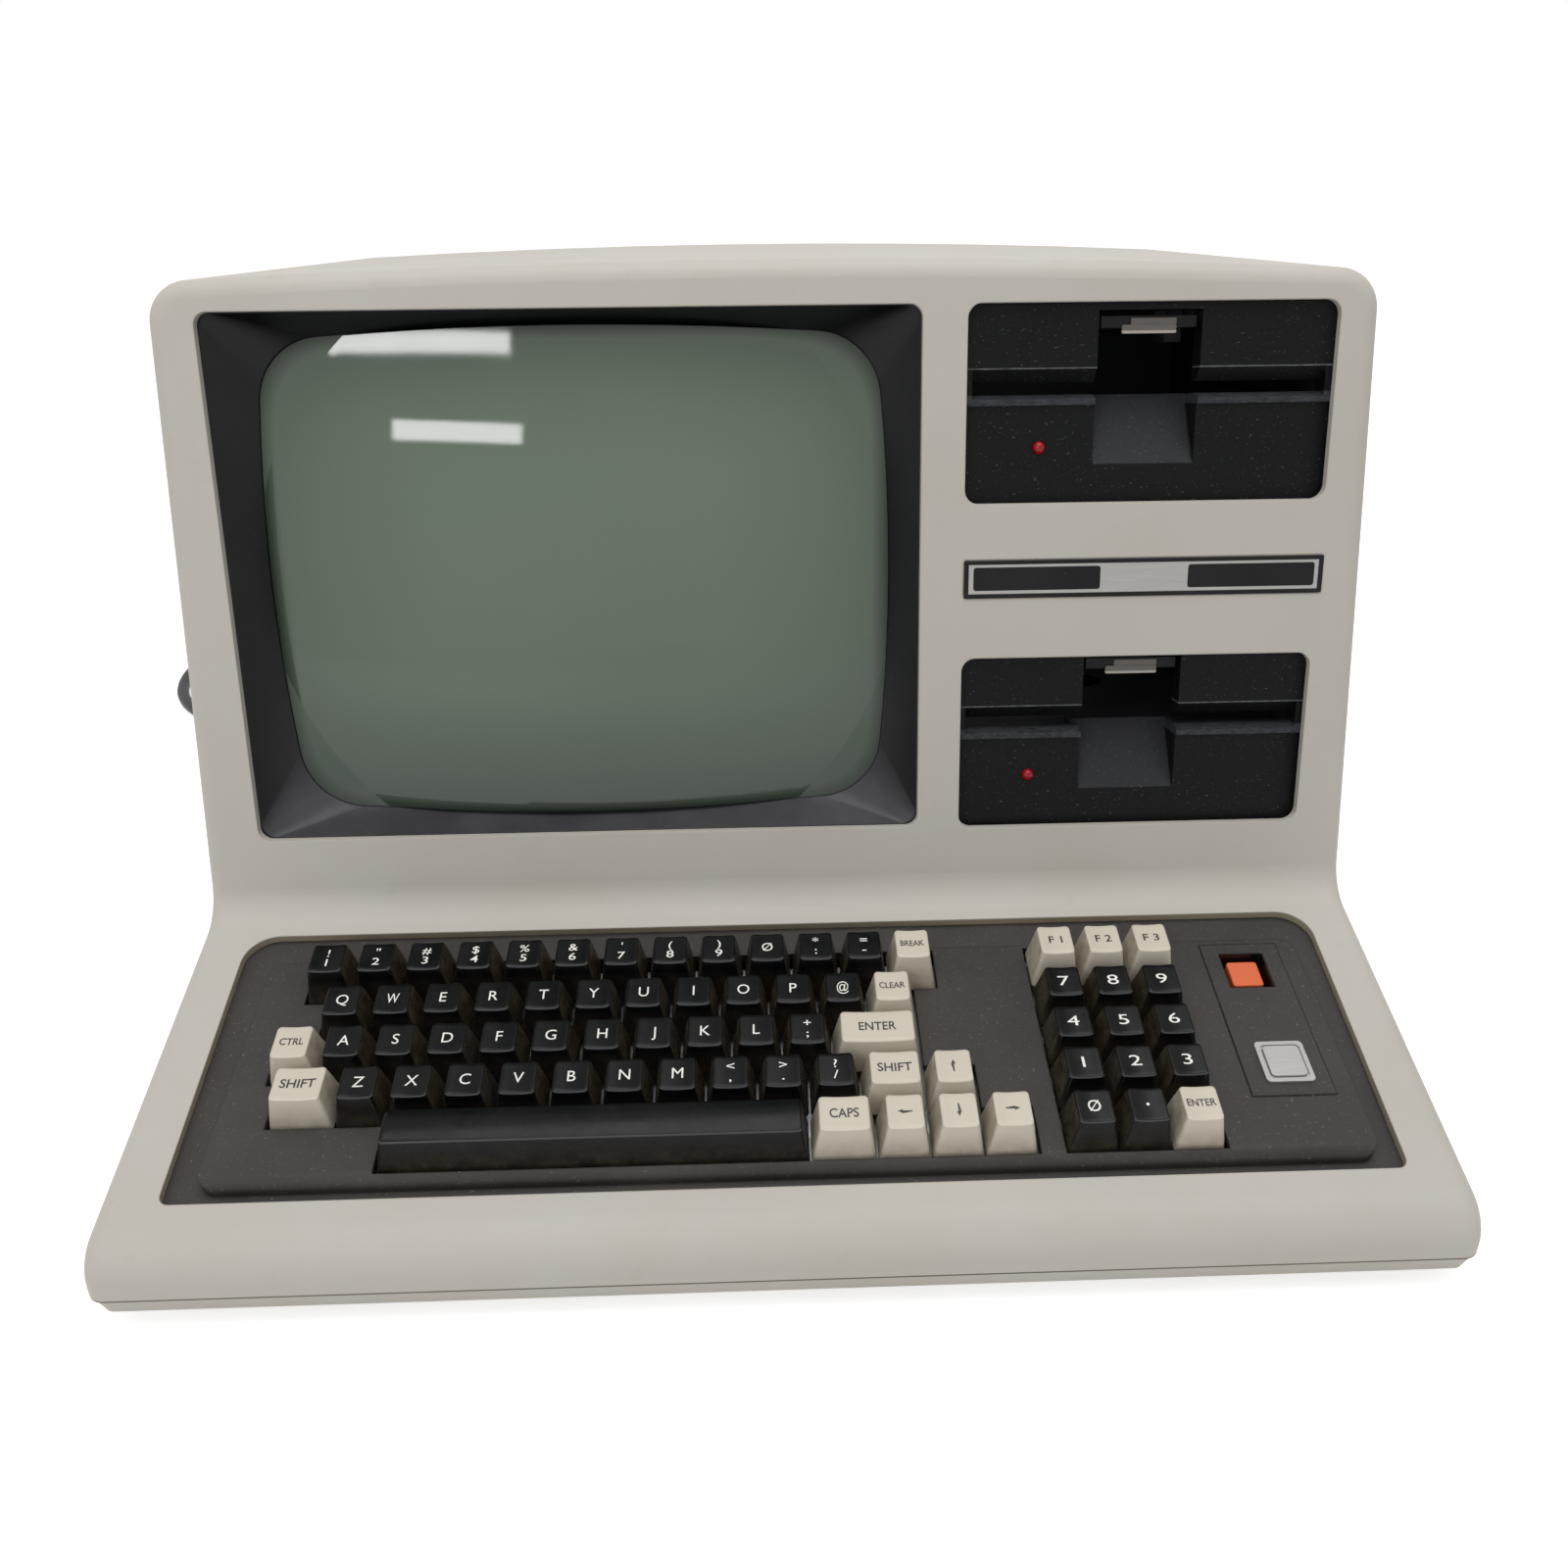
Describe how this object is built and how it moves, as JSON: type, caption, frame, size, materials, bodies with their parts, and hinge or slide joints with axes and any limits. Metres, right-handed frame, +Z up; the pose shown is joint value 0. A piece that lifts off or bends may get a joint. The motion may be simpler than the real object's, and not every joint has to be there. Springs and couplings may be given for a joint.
{
  "type": "vintage home computer",
  "caption": "All-in-one desktop computer with a built-in picture tube, disk drives with turning levers beside it, and a sloped keyboard whose keys travel.",
  "frame": {"origin": "middle of the case's footprint, on the surface that it stands on", "axes": "+X to the user's right as they face the screen, +Y from the keyboard's edge to the back, +Z up"},
  "size_m": [0.648, 0.697, 0.3168],
  "materials": {
    "case": "fine matte textured, light warm grey",
    "tray": "fine matte textured, slightly greener grey",
    "black_mask": "textured black",
    "screen_glass": "glossy grey-green glass over phosphor",
    "steel": "bare sheet metal",
    "copper": "wound copper wire",
    "board": "green circuit board",
    "bezel": "charcoal, dusty matte",
    "plate_metal": "dark sheet",
    "switch_black": "moulded",
    "key_black": "semi-gloss black",
    "key_cream": "semi-gloss cream",
    "reset_orange": "satin orange",
    "badge_silver": "brushed silver",
    "drive_black": "coarse textured black",
    "drive_cast": "as cast",
    "lever_black": "satin",
    "lamp_red": "clear red",
    "rubber": "matte",
    "cord_grey": "satin dark grey",
    "screw_steel": "zinc plated",
    "cone_black": "pressed basket"
  },
  "bodies": {
    "machine": {"base_tray": "tray", "top_cover": "case", "screen_bezel": "black_mask", "picture_tube": "screen_glass", "tube_band": "steel", "deflection_yoke": "copper", "neck_board": "board", "video_board": "board", "keyboard_bezel": "bezel", "switch_plate": "plate_metal", "key_switches": "switch_black", "keyboard_board": "board", "memory_badge": "badge_silver", "nameplate": "badge_silver", "drive_tower": "steel", "upper_drive_front": "drive_black", "upper_drive_body": "drive_cast", "lower_drive_front": "drive_black", "lower_drive_body": "drive_cast", "drive_lamps": "lamp_red", "power_supply": "steel", "main_board": "board", "board_bracket": "steel", "switch_housing": "switch_black", "knob_controls": "switch_black", "speaker": "cone_black", "cassette_jack": "switch_black", "strain_relief": "rubber", "power_cord": "cord_grey", "cord_coil": "cord_grey", "mains_plug": "cord_grey", "rubber_feet": "rubber", "cover_screws": "screw_steel"},
    "f1_key": {"f1_key": "key_cream"},
    "f2_key": {"f2_key": "key_cream"},
    "f3_key": {"f3_key": "key_cream"},
    "break_key": {"break_key": "key_cream"},
    "clear_key": {"clear_key": "key_cream"},
    "enter_key": {"enter_key": "key_cream"},
    "control_key": {"control_key": "key_cream"},
    "left_shift_key": {"left_shift_key": "key_cream"},
    "right_shift_key": {"right_shift_key": "key_cream"},
    "caps_key": {"caps_key": "key_cream"},
    "up_arrow_key": {"up_arrow_key": "key_cream"},
    "down_arrow_key": {"down_arrow_key": "key_cream"},
    "left_arrow_key": {"left_arrow_key": "key_cream"},
    "right_arrow_key": {"right_arrow_key": "key_cream"},
    "keypad_enter_key": {"keypad_enter_key": "key_cream"},
    "space_bar": {"space_bar": "key_black"},
    "number_row_keys": {"number_row_keys": "key_black"},
    "upper_row_keys": {"upper_row_keys": "key_black"},
    "home_row_keys": {"home_row_keys": "key_black"},
    "lower_row_keys": {"lower_row_keys": "key_black"},
    "keypad_digit_keys": {"keypad_digit_keys": "key_black"},
    "reset_button": {"reset_button": "reset_orange"},
    "upper_drive_lever": {"upper_drive_lever": "lever_black"},
    "lower_drive_lever": {"lower_drive_lever": "lever_black"},
    "power_switch": {"power_switch": "switch_black"},
    "brightness_knob": {"brightness_knob": "switch_black"},
    "contrast_knob": {"contrast_knob": "switch_black"}
  },
  "joints": [
    {"name": "f1_key_travel", "type": "slide", "parent": "machine", "child": "f1_key", "axis": [0, 0.2149, -0.9766], "range_m": [0, 0.0038], "stiffness_N_per_m": 160, "springref_m": -0.002},
    {"name": "f2_key_travel", "type": "slide", "parent": "machine", "child": "f2_key", "axis": [0, 0.2149, -0.9766], "range_m": [0, 0.0038], "stiffness_N_per_m": 160, "springref_m": -0.002},
    {"name": "f3_key_travel", "type": "slide", "parent": "machine", "child": "f3_key", "axis": [0, 0.2149, -0.9766], "range_m": [0, 0.0038], "stiffness_N_per_m": 160, "springref_m": -0.002},
    {"name": "break_key_travel", "type": "slide", "parent": "machine", "child": "break_key", "axis": [0, 0.2149, -0.9766], "range_m": [0, 0.0038], "stiffness_N_per_m": 160, "springref_m": -0.002},
    {"name": "clear_key_travel", "type": "slide", "parent": "machine", "child": "clear_key", "axis": [0, 0.2149, -0.9766], "range_m": [0, 0.0038], "stiffness_N_per_m": 160, "springref_m": -0.002},
    {"name": "enter_key_travel", "type": "slide", "parent": "machine", "child": "enter_key", "axis": [0, 0.2149, -0.9766], "range_m": [0, 0.0038], "stiffness_N_per_m": 160, "springref_m": -0.002},
    {"name": "control_key_travel", "type": "slide", "parent": "machine", "child": "control_key", "axis": [0, 0.2149, -0.9766], "range_m": [0, 0.0038], "stiffness_N_per_m": 160, "springref_m": -0.002},
    {"name": "left_shift_key_travel", "type": "slide", "parent": "machine", "child": "left_shift_key", "axis": [0, 0.2149, -0.9766], "range_m": [0, 0.0038], "stiffness_N_per_m": 160, "springref_m": -0.002},
    {"name": "right_shift_key_travel", "type": "slide", "parent": "machine", "child": "right_shift_key", "axis": [0, 0.2149, -0.9766], "range_m": [0, 0.0038], "stiffness_N_per_m": 160, "springref_m": -0.002},
    {"name": "caps_key_travel", "type": "slide", "parent": "machine", "child": "caps_key", "axis": [0, 0.2149, -0.9766], "range_m": [0, 0.0038], "stiffness_N_per_m": 160, "springref_m": -0.002},
    {"name": "up_arrow_key_travel", "type": "slide", "parent": "machine", "child": "up_arrow_key", "axis": [0, 0.2149, -0.9766], "range_m": [0, 0.0038], "stiffness_N_per_m": 160, "springref_m": -0.002},
    {"name": "down_arrow_key_travel", "type": "slide", "parent": "machine", "child": "down_arrow_key", "axis": [0, 0.2149, -0.9766], "range_m": [0, 0.0038], "stiffness_N_per_m": 160, "springref_m": -0.002},
    {"name": "left_arrow_key_travel", "type": "slide", "parent": "machine", "child": "left_arrow_key", "axis": [0, 0.2149, -0.9766], "range_m": [0, 0.0038], "stiffness_N_per_m": 160, "springref_m": -0.002},
    {"name": "right_arrow_key_travel", "type": "slide", "parent": "machine", "child": "right_arrow_key", "axis": [0, 0.2149, -0.9766], "range_m": [0, 0.0038], "stiffness_N_per_m": 160, "springref_m": -0.002},
    {"name": "keypad_enter_key_travel", "type": "slide", "parent": "machine", "child": "keypad_enter_key", "axis": [0, 0.2149, -0.9766], "range_m": [0, 0.0038], "stiffness_N_per_m": 160, "springref_m": -0.002},
    {"name": "space_bar_travel", "type": "slide", "parent": "machine", "child": "space_bar", "axis": [0, 0.2149, -0.9766], "range_m": [0, 0.0038], "stiffness_N_per_m": 160, "springref_m": -0.002},
    {"name": "number_row_keys_travel", "type": "slide", "parent": "machine", "child": "number_row_keys", "axis": [0, 0.2149, -0.9766], "range_m": [0, 0.0038], "stiffness_N_per_m": 1920, "springref_m": -0.002},
    {"name": "upper_row_keys_travel", "type": "slide", "parent": "machine", "child": "upper_row_keys", "axis": [0, 0.2149, -0.9766], "range_m": [0, 0.0038], "stiffness_N_per_m": 1760, "springref_m": -0.002},
    {"name": "home_row_keys_travel", "type": "slide", "parent": "machine", "child": "home_row_keys", "axis": [0, 0.2149, -0.9766], "range_m": [0, 0.0038], "stiffness_N_per_m": 1600, "springref_m": -0.002},
    {"name": "lower_row_keys_travel", "type": "slide", "parent": "machine", "child": "lower_row_keys", "axis": [0, 0.2149, -0.9766], "range_m": [0, 0.0038], "stiffness_N_per_m": 1600, "springref_m": -0.002},
    {"name": "keypad_digit_keys_travel", "type": "slide", "parent": "machine", "child": "keypad_digit_keys", "axis": [0, 0.2149, -0.9766], "range_m": [0, 0.0038], "stiffness_N_per_m": 1760, "springref_m": -0.002},
    {"name": "reset_press", "type": "slide", "parent": "machine", "child": "reset_button", "axis": [0, 0.2149, -0.9766], "range_m": [0, 0.0025], "stiffness_N_per_m": 300, "springref_m": -0.0015},
    {"name": "upper_lever_turn", "type": "hinge", "parent": "machine", "child": "upper_drive_lever", "pos_m": [0.1445, -0.01357, 0.28232], "axis": [1, 0, 0], "range_deg": [0, 21]},
    {"name": "lower_lever_turn", "type": "hinge", "parent": "machine", "child": "lower_drive_lever", "pos_m": [0.1445, -0.04383, 0.15322], "axis": [1, 0, 0], "range_deg": [0, 21]},
    {"name": "power_rocker", "type": "hinge", "parent": "machine", "child": "power_switch", "pos_m": [0.222, -0.23705, 0.0135], "axis": [1, 0, 0], "range_deg": [-18, 0]},
    {"name": "brightness_turn", "type": "hinge", "parent": "machine", "child": "brightness_knob", "pos_m": [-0.226, -0.23305, 0.014], "axis": [1, 0, 0], "range_deg": [-150, 150]},
    {"name": "contrast_turn", "type": "hinge", "parent": "machine", "child": "contrast_knob", "pos_m": [-0.206, -0.23305, 0.014], "axis": [1, 0, 0], "range_deg": [-150, 150]}
  ]
}
